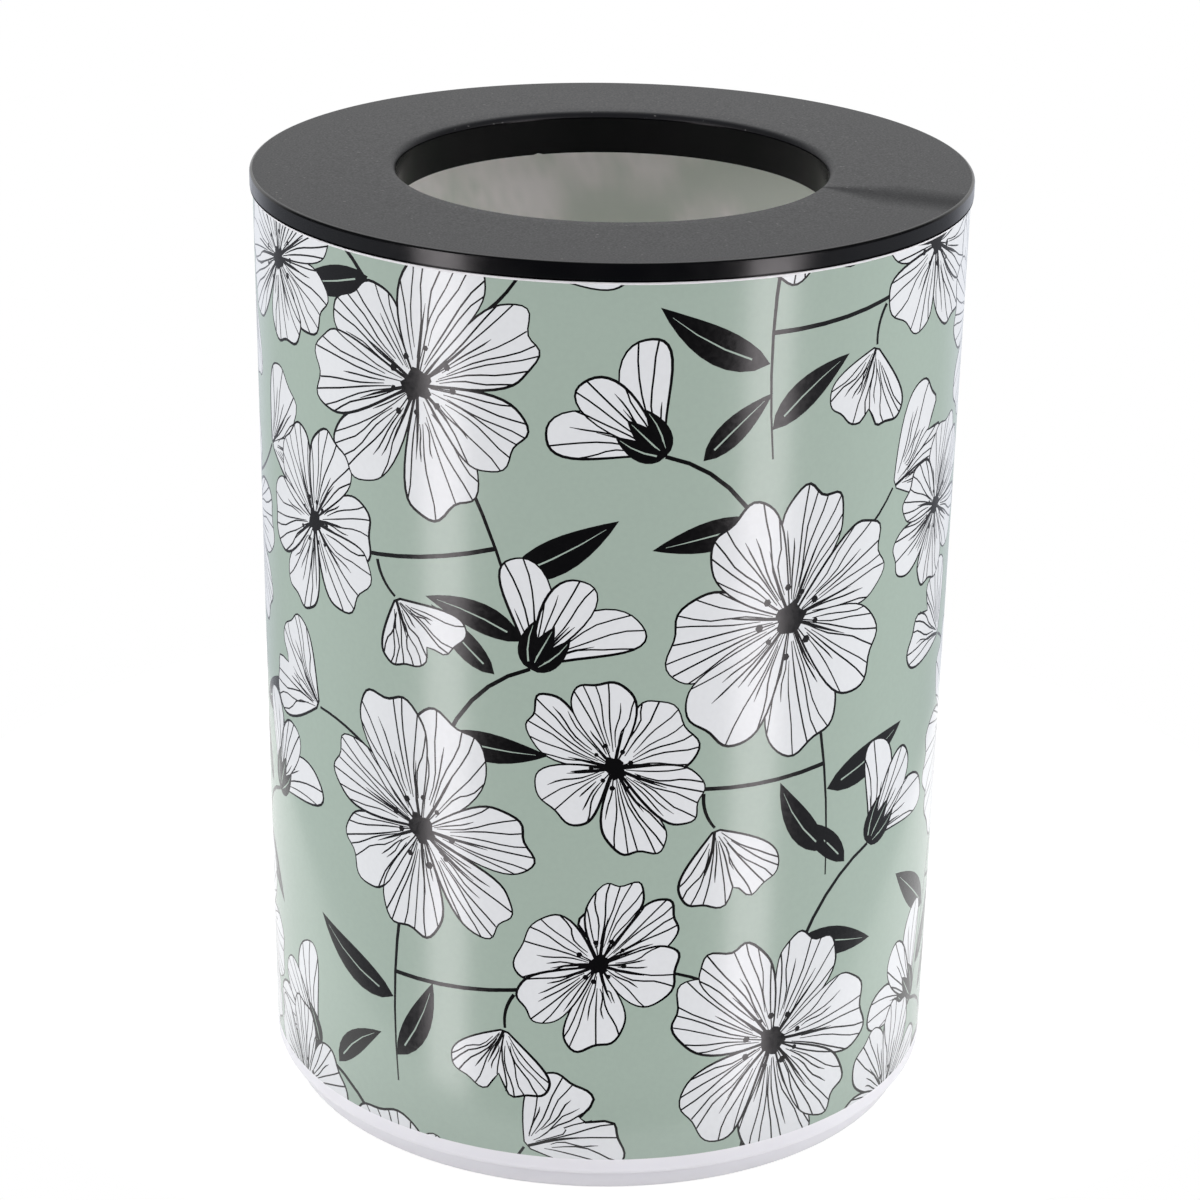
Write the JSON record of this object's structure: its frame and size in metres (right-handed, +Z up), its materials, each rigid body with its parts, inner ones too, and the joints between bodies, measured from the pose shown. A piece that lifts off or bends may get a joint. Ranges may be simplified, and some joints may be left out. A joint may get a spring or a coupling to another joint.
{
  "type": "waste bin with ring lid",
  "caption": "Small round tapered plastic bin with a printed film moulded into its wall and a lift-off ring lid with a wide open mouth that holds a liner bag.",
  "frame": {"origin": "centre of the foot ring's lower face, where the bin stands", "axes": "+Z up along the axis of the bin; -Y faces the viewer of the picture, and the label's butt seam is at the back, +Y"},
  "size_m": [0.2, 0.2, 0.2704],
  "materials": {
    "white_plastic": "satin white moulded plastic, slightly translucent",
    "printed_film": "glossy printed film, sage green with white and black flowers",
    "black_plastic": "black moulded plastic, fine grained on top and smooth on the edges"
  },
  "bodies": {
    "bin": {"bucket": "white_plastic", "printed_label": "printed_film"},
    "lid": {"ring_lid": "black_plastic"}
  },
  "joints": [
    {"name": "lid_lift", "type": "slide", "parent": "bin", "child": "lid", "axis": [0, 0, 1], "range_m": [0, 0.09]}
  ]
}
